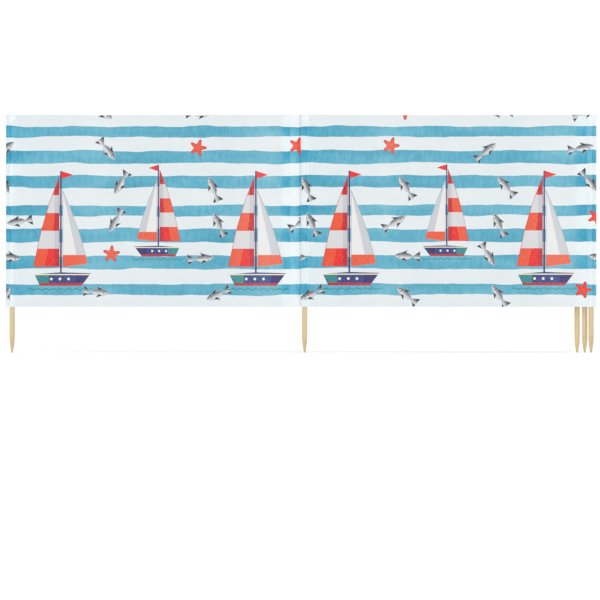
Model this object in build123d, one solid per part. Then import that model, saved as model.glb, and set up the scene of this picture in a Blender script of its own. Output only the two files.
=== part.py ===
"""Beach windbreak: five pointed poles in closed sleeves, two bays spread out and two folded behind.

Millimetres. X runs along the cloth, -Y is the printed side, Z is up. The origin is the flat tip of pole 2,
the pole between the two bays that are spread out.
"""

from build123d import *
import math
import os

# Poles
pole_length = 965.0
pole_diameter = 22.0
tip_diameter = 6.0
point_length = 69.0
pole_end_round = 3.0

# Cloth
cloth_height = 800.0
cloth_thickness = 0.8
hem_height = 18.0
hem_round_share = 0.9

# Sleeves: the walls leave the pole at a tangent and meet at a stitch line each side of it
pole_slack = 0.3
stitch_reach = 15.5
tight_stitch_reach = 13.0
seam_margin = 1.5
selvedge_margin = 10.3
end_clearance = 0.3
closing_rise = 16.0
shoulder_width_share = 0.72
shoulder_rise_share = 0.55
top_stitch_height = 9.0

# Bays, pole to pole
bay_length = 1218.4
second_bay_length = 1193.6
pole_4_set_back = 25.0
pole_5_set_back = 55.0

# Folded layers and the lines that the cloth turns on
layer_clearance = 0.8
turn_gap = 1.0
swing_gap = 2.0

hem_thickness = 2 * cloth_thickness
sleeve_inner_radius = pole_diameter / 2 + pole_slack
sleeve_outer_radius = sleeve_inner_radius + cloth_thickness
layer_step = sleeve_outer_radius + hem_thickness / 2 + layer_clearance
turn_radius = layer_step / 2

cloth_top = pole_length + end_clearance + closing_rise + top_stitch_height
cloth_bottom = cloth_top - cloth_height
sleeve_top = pole_length + end_clearance

pole_1_x = -bay_length
pole_2_x = 0.0
pole_3_x = second_bay_length
pole_4_x = pole_3_x - pole_4_set_back
pole_5_x = pole_3_x - pole_5_set_back

# The folded layers stand one step behind the other
bay_3_front_y = layer_step
pole_4_y = 2 * layer_step
bay_4_front_y = 3 * layer_step
pole_5_y = 4 * layer_step

swing_x = pole_2_x - stitch_reach - seam_margin - swing_gap
turn_3_x = pole_3_x + tight_stitch_reach + seam_margin + turn_gap
turn_4_x = pole_4_x + tight_stitch_reach + seam_margin + turn_gap


def fold_line(near_pole_x, turn_x, far_pole_x):
    """X of the fold that lets a folded bay open out to the full bay length."""
    return (turn_x + far_pole_x - (bay_length - (turn_x - near_pole_x))) / 2


fold_3_x = fold_line(pole_3_x, turn_3_x, pole_4_x)
fold_4_x = fold_line(pole_4_x, turn_4_x, pole_5_x)


def box_between(low, high):
    """Box from its lowest corner to its highest."""
    size = [b - a for a, b in zip(low, high)]
    return Pos(*low) * Box(*size, align=(Align.MIN, Align.MIN, Align.MIN))


def make_pole(x, y):
    """Turned dowel: flat tip, long point curving into the shaft, rounded far end."""
    radius = pole_diameter / 2
    shaft_start = (radius, point_length)
    shaft_end = (radius, pole_length - pole_end_round)
    end_face = (radius - pole_end_round, pole_length)
    with BuildSketch(Plane.XZ) as profile:
        with BuildLine():
            Line((0, 0), (tip_diameter / 2, 0))
            TangentArc(shaft_start, (tip_diameter / 2, 0), tangent=(0, -1))
            Line(shaft_start, shaft_end)
            TangentArc(shaft_end, end_face, tangent=(0, 1))
            Line(end_face, (0, pole_length))
            Line((0, pole_length), (0, 0))
        make_face()
    return Pos(x, y, 0) * revolve(profile.sketch, axis=Axis.Z)


def tangent_angle(radius, reach, half_thickness):
    """Slope of the wall that runs from the round of the pole to a stitch line."""
    return math.asin(radius / math.hypot(reach, half_thickness)) - math.atan2(half_thickness, reach)


def eye_face(radius, left, right, half):
    """Section of a sleeve: round the pole, narrowing to a stitch line at the left and at the right."""
    left_slope = tangent_angle(radius, left, half)
    right_slope = tangent_angle(radius, right, half)
    top = [
        (-left, half),
        (-radius * math.sin(left_slope), radius * math.cos(left_slope)),
        (radius * math.sin(right_slope), radius * math.cos(right_slope)),
        (right, half),
    ]
    bottom = [(px, -py) for px, py in reversed(top)]
    with BuildSketch() as section:
        with BuildLine():
            for side, middle in ((top, (0, radius)), (bottom, (0, -radius))):
                Line(side[0], side[1])
                ThreePointArc(side[1], middle, side[2])
                Line(side[2], side[3])
            if half > 0:
                Line(top[3], bottom[0])
                Line(bottom[3], top[0])
        make_face()
    return section.sketch


def sleeve_section(left, left_margin, right, right_margin):
    """Outline and hollow of a sleeve with its flat stitched margins."""
    outer = eye_face(sleeve_outer_radius, left, right, cloth_thickness)
    slope_left = tangent_angle(sleeve_outer_radius, left, cloth_thickness)
    slope_right = tangent_angle(sleeve_outer_radius, right, cloth_thickness)
    hollow = eye_face(
        sleeve_inner_radius,
        sleeve_inner_radius / math.sin(slope_left),
        sleeve_inner_radius / math.sin(slope_right),
        0,
    )
    width = left + left_margin + right + right_margin
    margins = Pos(-left - left_margin, 0) * Rectangle(width, hem_thickness, align=(Align.MIN, Align.CENTER))
    return outer, hollow, margins


def make_sleeve(x, y, left, left_margin, right, right_margin):
    """Cloth tube round a pole, from the lower edge of the cloth to the pole's far end."""
    outer, hollow, margins = sleeve_section(left, left_margin, right, right_margin)
    tube = extrude((outer + margins) - hollow, sleeve_top - cloth_bottom)
    return Pos(x, y, cloth_bottom) * tube


def make_sleeve_end(x, y, left, left_margin, right, right_margin):
    """Sleeve drawn together over the pole's end, with the flat strip that is stitched across it."""
    outer, _, margins = sleeve_section(left, left_margin, right, right_margin)
    half_strip = hem_thickness / 2
    rise = closing_rise
    shoulder = (shoulder_width_share * sleeve_outer_radius, shoulder_rise_share * rise)
    with BuildSketch(Plane.YZ) as gable:
        with BuildLine():
            Line((-sleeve_outer_radius, 0), (sleeve_outer_radius, 0))
            ThreePointArc((sleeve_outer_radius, 0), shoulder, (half_strip, rise))
            Line((half_strip, rise), (-half_strip, rise))
            ThreePointArc((-half_strip, rise), (-shoulder[0], shoulder[1]), (-sleeve_outer_radius, 0))
        make_face()
    reach = left + left_margin + right + right_margin
    wedge = extrude(gable.sketch, reach, both=True)
    cap = extrude(outer, rise) & wedge
    strip = extrude(margins, rise + top_stitch_height)
    return Pos(x, y, sleeve_top) * (cap + strip)


def make_panel(x_left, x_right, y):
    """Single cloth between the hems."""
    half = cloth_thickness / 2
    return box_between(
        (x_left, y - half, cloth_bottom + hem_height),
        (x_right, y + half, cloth_top - hem_height),
    )


def make_hem(x_left, x_right, y, z_low):
    """Doubled edge of the cloth, its outer edge rounded as a fold is."""
    half = hem_thickness / 2
    strip = box_between((x_left, y - half, z_low), (x_right, y + half, z_low + hem_height))
    outer_edge = Axis.Z if z_low > cloth_bottom else -Axis.Z
    long_edges = (strip.faces().sort_by(outer_edge)[-1]).edges().filter_by(Axis.X)
    return fillet(long_edges, hem_round_share * half)


def make_turn(x, y, side):
    """Cloth turned back on itself round the line at x, y; side is 1 to the right and -1 to the left."""
    half = cloth_thickness / 2
    ring = Circle(turn_radius + half) - Circle(turn_radius - half)
    half_plane = Rectangle(turn_radius + cloth_thickness, 4 * turn_radius, align=(Align.MIN, Align.CENTER))
    lead = Rectangle(turn_gap, cloth_thickness, align=(Align.MAX, Align.CENTER))
    bend = (ring & half_plane) + Pos(0, turn_radius) * lead + Pos(0, -turn_radius) * lead
    if side < 0:
        bend = Rot(0, 0, 180) * bend
    return Pos(x, y, cloth_bottom) * extrude(bend, cloth_height)


def make_bend(x_left, x_right, y):
    """Narrow strip of cloth that a bay swings on."""
    half = cloth_thickness / 2
    return box_between((x_left, y - half, cloth_bottom), (x_right, y + half, cloth_top))


def save(shape, name):
    """One STEP file per piece."""
    export_step(shape, f"parts/{name}.step")


def save_cloth(name, x_left, x_right, y):
    """A piece of cloth with its two hems."""
    save(make_panel(x_left, x_right, y), f"{name}_cloth")
    save(make_hem(x_left, x_right, y, cloth_bottom), f"{name}_bottom_hem")
    save(make_hem(x_left, x_right, y, cloth_top - hem_height), f"{name}_top_hem")


end_left = (stitch_reach, selvedge_margin, stitch_reach, seam_margin)
middle = (stitch_reach, seam_margin, stitch_reach, seam_margin)
turned = (stitch_reach, seam_margin, tight_stitch_reach, seam_margin)
end_right = (stitch_reach, seam_margin, stitch_reach, selvedge_margin)

poles = {
    1: (pole_1_x, 0.0, end_left),
    2: (pole_2_x, 0.0, middle),
    3: (pole_3_x, 0.0, turned),
    4: (pole_4_x, pole_4_y, turned),
    5: (pole_5_x, pole_5_y, end_right),
}


def main():
    """Build every piece."""
    os.makedirs("parts", exist_ok=True)
    for number, (x, y, section) in poles.items():
        save(make_pole(x, y), f"pole_{number}")
        save(make_sleeve(x, y, *section), f"sleeve_{number}")
        save(make_sleeve_end(x, y, *section), f"sleeve_{number}_end")

    wide = stitch_reach + seam_margin
    save_cloth("bay_1", pole_1_x + wide, swing_x - swing_gap, 0)
    save_cloth("bay_2", pole_2_x + wide, pole_3_x - wide, 0)
    save_cloth("bay_3_front", fold_3_x + turn_gap, turn_3_x - turn_gap, bay_3_front_y)
    save_cloth("bay_3_back", fold_3_x + turn_gap, pole_4_x - wide, pole_4_y)
    save_cloth("bay_4_front", fold_4_x + turn_gap, turn_4_x - turn_gap, bay_4_front_y)
    save_cloth("bay_4_back", fold_4_x + turn_gap, pole_5_x - wide, pole_5_y)

    save(make_bend(swing_x - swing_gap, swing_x + swing_gap, 0), "bay_1_bend")
    save(make_turn(turn_3_x, bay_3_front_y / 2, 1), "bay_3_turn")
    save(make_turn(fold_3_x, (bay_3_front_y + pole_4_y) / 2, -1), "bay_3_fold")
    save(make_turn(turn_4_x, (pole_4_y + bay_4_front_y) / 2, 1), "bay_4_turn")
    save(make_turn(fold_4_x, (bay_4_front_y + pole_5_y) / 2, -1), "bay_4_fold")
    print(f"swing line x {swing_x:.3f}, turn lines x {turn_3_x:.3f} {turn_4_x:.3f}")
    print(f"fold lines x {fold_3_x:.3f} {fold_4_x:.3f}, layer step {layer_step:.3f}")
    print(f"cloth from z {cloth_bottom:.3f} to {cloth_top:.3f}")


main()
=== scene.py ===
"""Beach windbreak: striped cloth printed with small boats, sewn into sleeves on five turned poles.

Metres, in the frame of the CAD model: X along the cloth, -Y the printed side, Z up, the origin at the tip of
pole 2. Each sheet of cloth is a surface over two numbers: s, the way along the cloth seen from above, and v,
the height above its lower edge. The print, the ripples, the hems and the stitches all use the same two
numbers.
"""

import logging
import math
from dataclasses import dataclass, field
from enum import Enum
from functools import reduce
from typing import Callable, Sequence

import bpy
import numpy as np
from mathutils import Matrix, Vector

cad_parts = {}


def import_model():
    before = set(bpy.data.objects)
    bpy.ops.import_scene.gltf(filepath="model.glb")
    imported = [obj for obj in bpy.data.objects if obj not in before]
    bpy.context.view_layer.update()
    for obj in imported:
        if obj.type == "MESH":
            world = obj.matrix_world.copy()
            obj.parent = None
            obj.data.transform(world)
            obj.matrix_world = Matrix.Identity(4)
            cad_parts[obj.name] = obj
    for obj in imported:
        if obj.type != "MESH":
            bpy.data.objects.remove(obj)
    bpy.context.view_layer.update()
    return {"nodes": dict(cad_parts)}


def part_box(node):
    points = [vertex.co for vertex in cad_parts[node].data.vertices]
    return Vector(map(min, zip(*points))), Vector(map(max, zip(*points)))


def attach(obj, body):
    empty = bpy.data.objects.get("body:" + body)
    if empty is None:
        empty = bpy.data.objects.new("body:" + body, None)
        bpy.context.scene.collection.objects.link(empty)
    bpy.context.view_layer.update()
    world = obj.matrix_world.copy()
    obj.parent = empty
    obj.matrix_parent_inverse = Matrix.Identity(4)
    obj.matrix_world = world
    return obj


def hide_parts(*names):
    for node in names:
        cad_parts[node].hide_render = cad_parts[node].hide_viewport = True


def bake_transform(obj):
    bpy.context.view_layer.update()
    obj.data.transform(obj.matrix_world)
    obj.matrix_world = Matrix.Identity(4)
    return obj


log = logging.getLogger("windbreak")

Piece = bpy.types.Object
Material = bpy.types.Material
Colour = tuple[float, float, float, float]
Pair = tuple[float, float]
Place = Callable[[np.ndarray, np.ndarray], tuple[np.ndarray, np.ndarray]]

HALF_CLOTH = 0.00023  # half the thickness of the cloth
STITCH_LINE = 0.0155  # from a pole's middle to the stitch line of its sleeve
TIGHT_STITCH_LINE = 0.013  # the same on the side where the cloth turns
SEAM_MARGIN = 0.0015  # cloth past a stitch line
SELVEDGE = 0.0103  # cloth past the first and the last stitch line
SELVEDGE_ROW = 0.0075  # from there to the row that holds the selvedge
SLEEVE_RADIUS = 0.0117
CLOSING_RISE = 0.016  # height over which a sleeve is drawn together
CLOSING_POWER = 2.1
HEM = 0.018
HEM_ROW = HEM - 0.0028  # height of the row of stitches in a hem
CLOSING_ROWS = (0.0062, 0.0022)  # how far under the top edge a sleeve is stitched across
ROW_END = 0.0008  # from the edge of the cloth to the end of an upright row
LEAD = 0.001  # straight cloth on each side of a turn
SEAM_EASE = 0.004  # cloth between the seam and the doubled part


class Slot(Enum):
    """Material slots of the record that the cloth's pieces take."""

    CLOTH = "striped_cloth"
    SLEEVE = "sleeve_cloth"
    HEM = "hem_cloth"


class Edge(Enum):
    """The two long edges of the cloth."""

    BOTTOM = "bottom"
    TOP = "top"


def srgb(red: int, green: int, blue: int) -> Colour:
    """Turn a colour of 0 to 255 into linear light.

    Each channel c becomes ((c + 0.055) / 1.055) to the power 2.4, or c / 12.92 near black.

    Args:
        red: red, 0 to 255.
        green: green, 0 to 255.
        blue: blue, 0 to 255.

    Returns:
        The linear colour with an alpha of 1.
    """
    channel = np.array([red, green, blue]) / 255
    linear = np.where(channel <= 0.04045, channel / 12.92, ((channel + 0.055) / 1.055) ** 2.4)
    return (*linear.tolist(), 1.0)


def smooth(x: np.ndarray, low: float, high: float) -> np.ndarray:
    """Rise from 0 at low to 1 at high.

    With t = (x - low) / (high - low) kept to 0..1, the value is t squared times (3 - 2 t).

    Args:
        x: where to look.
        low: where the rise starts.
        high: where it ends; it may be below low, for a fall.

    Returns:
        The rise at each x.
    """
    t = np.clip((x - low) / (high - low), 0, 1)
    return t * t * (3 - 2 * t)


def spread(*stretches: tuple[float, float, float]) -> np.ndarray:
    """Sorted places that cover several stretches, each at its own spacing.

    Args:
        stretches: start, end and largest spacing of each stretch.

    Returns:
        The places, without doubles.
    """
    parts = [np.linspace(a, b, max(2, math.ceil((b - a) / gap - 1e-6) + 1)) for a, b, gap in stretches]
    places = np.unique(np.concatenate(parts).round(6))
    return places[np.concatenate([[True], np.diff(places) > 5e-5])]


# Node trees


class Wire:
    """A number or vector running through a node tree; arithmetic on it adds the nodes."""

    def __init__(self, tree: bpy.types.NodeTree, socket: bpy.types.NodeSocket | None = None) -> None:
        """Keep the tree and the socket that the value comes from."""
        self.tree = tree
        self.socket = socket

    def node(self, kind: str, *inputs: object, output: int = 0, **settings: object) -> "Wire":
        """Add a node to this wire's tree.

        Args:
            kind: the node's type name, without ShaderNode.
            inputs: what goes into its sockets in order: a Wire, a value, or None to leave one alone.
            output: which of its outputs to go on from.
            settings: attributes set on the node.

        Returns:
            The output that was asked for.
        """
        made = self.tree.nodes.new(f"ShaderNode{kind}")
        for name, value in settings.items():
            setattr(made, name, value)
        for socket, value in zip(made.inputs, inputs):
            feed(socket, value)
        return Wire(self.tree, made.outputs[output])

    def math(self, operation: str, *others: object) -> "Wire":
        """One Math node on this wire."""
        return self.node("Math", self, *others, operation=operation)

    def __add__(self, other: object) -> "Wire":
        """Sum."""
        return self.math("ADD", other)

    def __sub__(self, other: object) -> "Wire":
        """Difference."""
        return self.math("SUBTRACT", other)

    def __mul__(self, other: object) -> "Wire":
        """Product."""
        return self.math("MULTIPLY", other)

    def __truediv__(self, other: object) -> "Wire":
        """Quotient."""
        return self.math("DIVIDE", other)

    def __neg__(self) -> "Wire":
        """Opposite."""
        return self.math("MULTIPLY", -1.0)

    def __abs__(self) -> "Wire":
        """Size without its sign."""
        return self.math("ABSOLUTE")

    def __and__(self, other: object) -> "Wire":
        """Smaller of two: the part that two shapes share."""
        return self.math("MINIMUM", other)

    def __or__(self, other: object) -> "Wire":
        """Larger of two: two shapes together."""
        return self.math("MAXIMUM", other)

    def within(self, reach: float) -> "Wire":
        """How far this is within a reach of 0: the reach less its size."""
        return -abs(self) + reach

    def part(self, axis: int) -> "Wire":
        """X, Y or Z of a vector."""
        return self.node("SeparateXYZ", self, output=axis)

    def vector(self, *parts: object) -> "Wire":
        """Vector with these parts."""
        return self.node("CombineXYZ", *parts)

    def rise(self, low: float, high: float) -> "Wire":
        """Smooth rise from 0 at low to 1 at high."""
        return self.node("MapRange", self, low, high, interpolation_type="SMOOTHSTEP")

    def ramp(self, stops: Sequence[tuple[float, object]]) -> "Wire":
        """Colour ramp over this wire.

        Args:
            stops: position and value of each stop; a value is a grey level or a colour.

        Returns:
            The ramp's colour.
        """
        made = self.node("ValToRGB", self)
        elements = made.socket.node.color_ramp.elements
        while len(elements) < len(stops):
            elements.new(0.5)
        for element, (position, value) in zip(elements, stops):
            element.position = position
            element.color = value if isinstance(value, tuple) else (value, value, value, 1)
        return made

    def mix(self, low: object, high: object) -> "Wire":
        """Colour between two, low at 0 and high at 1; the node's colour sockets come after five others."""
        return self.node("Mix", self, *[None] * 5, low, high, output=2, data_type="RGBA")

    def stretched(self, x: float, y: float, z: float = 1.0) -> "Wire":
        """This vector, scaled along each axis."""
        return self.node("VectorMath", self, (x, y, z), operation="MULTIPLY")

    def noise(self, scale: float, detail: float = 2.0) -> "Wire":
        """Noise from 0 to 1 over this vector."""
        return self.node("TexNoise", self, None, scale, detail)

    def bump(self, strength: float, depth: float) -> "Wire":
        """Normal of a surface that has this height."""
        return self.node("Bump", strength, depth, None, self)


def feed(socket: bpy.types.NodeSocket, value: object) -> None:
    """Lead a wire into a socket, or give the socket a value.

    Args:
        socket: the socket.
        value: a Wire, a value, or None to leave the socket alone.
    """
    if isinstance(value, Wire):
        value.tree.links.new(value.socket, socket)
    elif value is not None:
        socket.default_value = value


def cloth_uv(tree: bpy.types.NodeTree) -> Wire:
    """The cloth's own coordinates: its UV map."""
    return Wire(tree).node("UVMap", uv_map="cloth")


def kept(tree: bpy.types.NodeTree, name: str) -> Wire:
    """A number that the mesh keeps at each point."""
    return Wire(tree).node("Attribute", attribute_name=name, output=2)


class Surface:
    """A new material and its Principled shader."""

    def __init__(self, name: str) -> None:
        """Make the material.

        Args:
            name: the finish's name.
        """
        self.material = bpy.data.materials.new(name)
        self.material.use_nodes = True
        self.tree = self.material.node_tree
        self.shader = self.tree.nodes["Principled BSDF"]

    def here(self) -> Wire:
        """Object coordinates."""
        return Wire(self.tree).node("TexCoord", output=3)

    def finish(self, **sockets: object) -> Material:
        """Feed the shader's sockets.

        Args:
            sockets: a wire or a value for each socket, its name in small letters with _ for a space.

        Returns:
            The material.
        """
        for socket in self.shader.inputs:
            feed(socket, sockets.get(socket.name.lower().replace(" ", "_")))
        return self.material


# The print


@dataclass(frozen=True)
class Shape:
    """A convex outline of a printed motif, its corners in metres, counterclockwise."""

    corners: tuple[Pair, ...]

    def inside(self, place: Wire) -> Wire:
        """How far a place is inside: the least of its distances to the outline's sides.

        Args:
            place: a vector (x, y, 1) in the motif's own frame.

        Returns:
            The distance, below 0 outside.
        """
        sides = []
        for (x0, y0), (x1, y1) in zip(self.corners, self.corners[1:] + self.corners[:1]):
            run = math.hypot(x1 - x0, y1 - y0)
            a, b = (y0 - y1) / run, (x1 - x0) / run
            side = (a, b, -a * x0 - b * y0)
            sides.append(place.node("VectorMath", place, side, output=1, operation="DOT_PRODUCT"))
        return reduce(Wire.__and__, sides)


@dataclass(frozen=True)
class Disc:
    """A round part of a printed motif."""

    x: float
    y: float
    radius: float

    def inside(self, place: Wire) -> Wire:
        """How far a place (x, y, 1) is inside: the radius less the distance to the centre."""
        centre = (self.x, self.y, 1)
        return -place.node("VectorMath", place, centre, output=1, operation="DISTANCE") + self.radius


@dataclass(frozen=True)
class Inks:
    """Colours of the print, matched to the photograph."""

    ground: Colour = srgb(234, 240, 242)
    ground_low: Colour = srgb(230, 237, 239)
    blue: Colour = srgb(90, 176, 201)
    blue_deep: Colour = srgb(62, 158, 186)
    blue_pale: Colour = srgb(127, 195, 216)
    blue_edge: Colour = srgb(74, 153, 174)
    red: Colour = srgb(238, 30, 22)
    orange: Colour = srgb(239, 92, 58)
    crimson: Colour = srgb(196, 28, 36)
    navy: Colour = srgb(30, 63, 133)
    night: Colour = srgb(42, 33, 104)
    teal: Colour = srgb(44, 140, 146)
    grey: Colour = srgb(222, 221, 222)
    band_shade: Colour = srgb(203, 204, 208)
    sail_lit: Colour = srgb(238, 237, 236)
    sail_shade: Colour = srgb(206, 208, 212)
    shade: Colour = srgb(176, 180, 184)
    slate: Colour = srgb(120, 126, 134)
    coal: Colour = srgb(44, 46, 52)
    cream: Colour = srgb(251, 232, 188)


@dataclass(frozen=True)
class Boat:
    """A sailing boat: x from the middle of its keel, the mainsail to the left, and y up from the keel."""

    mast: Shape = Shape(((-0.0035, 0.05), (0.0035, 0.05), (0.003, 0.478), (-0.003, 0.478)))
    pennant: Shape = Shape(((0.002, 0.446), (0.052, 0.462), (0.002, 0.478)))
    mainsail: Shape = Shape(
        ((-0.114, 0.08), (-0.007, 0.08), (-0.007, 0.452), (-0.048, 0.345), (-0.083, 0.225)),
    )
    mainsail_lit: Shape = Shape(((-0.084, 0.0), (0.4, 0.0), (0.4, 0.5), (0.02, 0.5)))
    mainsail_foot: float = 0.08
    band: float = 0.0744
    mast_shade: float = 0.026
    jib: Shape = Shape(((0.008, 0.078), (0.112, 0.092), (0.078, 0.215), (0.044, 0.31), (0.008, 0.395)))
    jib_lit: Shape = Shape(((0.008, 0.078), (0.074, 0.087), (0.008, 0.395)))
    jib_band: float = 0.128
    outline: float = 0.0009
    jib_outline: float = 0.0012
    hull: Shape = Shape(((-0.088, 0.0), (0.086, 0.0), (0.136, 0.066), (0.0, 0.056), (-0.116, 0.06)))
    stern: float = 0.05
    bow: float = 0.062
    keel: float = 0.011
    rail: Pair = (0.0465, 0.0024)
    port: Disc = Disc(0.0, 0.028, 0.0058)
    ports: tuple[float, float, float] = (0.04, 0.018, 0.05)
    wave: Pair = (0.016, 0.45)
    waterline: tuple[float, float, float] = (0.011, 0.0022, 0.135)


@dataclass(frozen=True)
class Fish:
    """Half a fish: x along it, the head to the right, and y from its middle line."""

    body: Disc = Disc(0.0, -0.046, 0.0615)
    tail: Shape = Shape(((-0.067, 0.0), (-0.034, 0.0), (-0.067, 0.024)))
    fin: Shape = Shape(((-0.004, 0.008), (0.012, 0.013), (-0.016, 0.026)))
    eye: Disc = Disc(0.028, 0.003, 0.0025)
    gill: Disc = Disc(0.036, 0.0, 0.019)


@dataclass(frozen=True)
class Star:
    """Half an arm of a starfish, which lies along x."""

    arm: Shape = Shape(((0.0, 0.0), (0.036, 0.0), (0.033, 0.0045), (0.0115, 0.0095)))
    middle: Disc = Disc(0.0, 0.0, 0.012)
    bulge: Disc = Disc(0.02, -0.001, 0.006)
    arms: int = 5


@dataclass(frozen=True)
class BeachPrint:
    """Seven hand-painted stripes under small sailing boats, fish and starfish.

    stripes are the lower and upper edge of each, in metres above the cloth's lower edge; wander and tremble
    are how far slow and fine noise move them. The boats stand boat_pitch apart, and the fish and starfish
    between them in rows small_pitch apart. line is half the width over which one ink gives way to another.
    """

    stripes: tuple = (
        (0.0490, 0.0941),
        (0.1583, 0.2111),
        (0.2696, 0.3246),
        (0.3795, 0.4225),
        (0.4967, 0.5462),
        (0.5976, 0.6506),
        (0.7091, 0.7518),
    )
    cloth_height: float = 0.8
    edge_softness: float = 0.006
    wander: float = 0.0260
    tremble: float = 0.0030
    pooling: float = 0.55
    boat_pitch: float = 0.4061
    boat_base: float = 0.088
    far_boat_rise: float = 0.122
    far_boat_shrink: float = 0.2
    small_pitch: float = 0.1496
    small_shift: Pair = (0.085, 0.03)
    small_turn: float = 2.4
    star_share: float = 0.34
    line: float = 0.0004
    inks: Inks = Inks()
    boat: Boat = Boat()
    fish: Fish = Fish()
    star: Star = Star()

    def stripe_colour(self, cloth: Wire) -> Wire:
        """Watercolour stripes on white.

        The height is shifted by slow and by fine noise. A ramp turns it into a number that crosses 0.5 at
        each painted edge, so one number gives both the stripe and the darker line where the paint pooled at
        its edge.

        Args:
            cloth: the way along the whole cloth and the height in the print.

        Returns:
            The colour.
        """
        inks, soft = self.inks, self.edge_softness
        slow = cloth.stretched(5, 11).noise(1.0) - 0.5
        fine = cloth.stretched(42, 60).noise(1.0) - 0.5
        height = (cloth.part(1) + slow * self.wander + fine * self.tremble) / self.cloth_height
        stops = []
        for low, high in self.stripes:
            for edge, level in ((low - soft, 0.0), (low + soft, 1.0), (high - soft, 1.0), (high + soft, 0.0)):
                stops.append((edge / self.cloth_height, level))
        level = height.ramp(stops)
        broad, grainy = cloth.stretched(2.6, 13).noise(1.0, 3.0), cloth.stretched(70, 22).noise(1.0, 4.0)
        washes = broad * 0.62 + grainy * 0.38
        blue = washes.ramp([(0.32, inks.blue_deep), (0.50, inks.blue), (0.70, inks.blue_pale)])
        pooled = -level.rise(0.52, 0.72) + 1.0
        blue = (pooled * self.pooling).mix(blue, inks.blue_edge)
        white = cloth.stretched(9, 14).noise(1.0, 3.0).ramp([(0.3, inks.ground_low), (0.7, inks.ground)])
        return level.rise(0.45, 0.55).mix(white, blue)

    def past(self, place: Wire) -> Wire:
        """0 where a distance is below 0 and 1 where it is above, softened over the width of a line."""
        return place.rise(-self.line, self.line)

    def cover(self, ground: Wire, *layers: tuple[Wire, object]) -> Wire:
        """Print inks over the ground, one after the other.

        Args:
            ground: the colour under them.
            layers: for each ink, how far a place is inside its shape, and the ink.

        Returns:
            The colour with them.
        """
        for inner, ink in layers:
            ground = self.past(inner).mix(ground, ink)
        return ground

    def boats(self, uv: Wire, ground: Wire) -> Wire:
        """One boat in each cell of the pitch, by turns near and to the right, far and to the left.

        With k the cell's number and odd = k modulo 2, the boat's own x is the distance from the cell's
        middle, turned round where odd is 1 and divided by the boat's size, and y is the height above its
        base.

        Args:
            uv: the cloth's own coordinates.
            ground: the colour under the boats.

        Returns:
            The colour with the boats.
        """
        inks, boat = self.inks, self.boat
        cell = (uv.part(0) / self.boat_pitch).math("FLOOR")
        odd = cell.math("FLOORED_MODULO", 2.0)
        size = odd * -self.far_boat_shrink + 1.0
        x = (uv.part(0) - (cell + 0.5) * self.boat_pitch) * (odd * -2.0 + 1.0) / size
        y = (uv.part(1) - (odd * self.far_boat_rise + self.boat_base)) / size
        here = x.vector(x, y, 1.0)

        length, slope = boat.wave
        depth, half, reach = boat.waterline
        wave = (x.math("PINGPONG", length) * slope + y + depth).within(half) & x.within(reach)

        band = ((y - boat.mainsail_foot) / boat.band).math("FLOOR").math("FLOORED_MODULO", 2.0)
        off_mast, lit = self.past(x + boat.mast_shade), self.past(boat.mainsail_lit.inside(here))
        red = off_mast.mix(lit.mix(inks.orange, inks.red), inks.crimson)
        bands = band.mix(red, off_mast.mix(inks.grey, inks.band_shade))
        mainsail, jib, hull = (shape.inside(here) for shape in (boat.mainsail, boat.jib, boat.hull))

        paint = self.past(x + boat.stern).mix(inks.teal, self.past(x - boat.bow).mix(inks.navy, inks.night))
        rail, rail_half = boat.rail
        first, apart, last = boat.ports
        port = (x + first).math("PINGPONG", apart)
        ports = boat.port.inside(port.vector(port, y, 1.0)) & (x + 0.004).within(last)
        return self.cover(
            ground,
            (wave, inks.teal),
            (boat.mast.inside(here), inks.night),
            (boat.pennant.inside(here), inks.red),
            (mainsail, bands),
            (mainsail.within(boat.outline), inks.crimson),
            (jib, self.past(boat.jib_lit.inside(here)).mix(inks.sail_shade, inks.sail_lit)),
            (jib.within(boat.jib_outline), inks.shade),
            (jib & (-y + boat.jib_band), inks.orange),
            (hull, paint),
            (hull & (-y + boat.keel), inks.crimson),
            (hull & (y - rail).within(rail_half), inks.cream),
            (ports, inks.cream),
        )

    def small_motifs(self, uv: Wire, ground: Wire) -> Wire:
        """Fish and starfish in the gaps between the boats.

        The gaps are cut into cells. White noise of the cell's numbers shifts, turns and picks each motif. A
        fish is drawn from along and across, its own x and y, and a starfish from the same turned into one
        half arm.

        Args:
            uv: the cloth's own coordinates.
            ground: the colour under them.

        Returns:
            The colour with them.
        """
        inks, fish, star = self.inks, self.fish, self.star
        column = (uv.part(0) / self.boat_pitch + 0.5).math("FLOOR")
        row = (uv.part(1) / self.small_pitch + 0.1).math("FLOOR")
        dice = uv.node("TexWhiteNoise", column.vector(column + 3.0, row + 7.0, 0.0), output=1)
        shift, turn, pick = (dice.part(axis) for axis in range(3))
        aside, up = self.small_shift
        x = uv.part(0) - column * self.boat_pitch + (shift - 0.5) * aside
        y = uv.part(1) - (row + 0.4) * self.small_pitch + (pick - 0.5) * up
        aim = (turn - 0.5) * self.small_turn
        cosine, sine = aim.math("COSINE"), aim.math("SINE")
        along = (x * cosine + y * sine) * (shift - 0.5).math("SIGN")
        across = y * cosine - x * sine
        side = abs(across)
        half = x.vector(along, side, 1.0)
        is_fish = pick.math("GREATER_THAN", self.star_share)

        tail, fin = fish.tail.inside(half), fish.fin.inside(half)
        whole = (fish.body.inside(half) & (-along + 0.2) | tail | fin) + (is_fish - 1.0)
        back = (across * 60.0 + 0.5).rise(0.0, 1.0).mix(inks.grey, inks.slate)
        gill = fish.gill.inside(half).within(0.0008) & (whole - 0.002) & (-along + 0.022)

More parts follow.
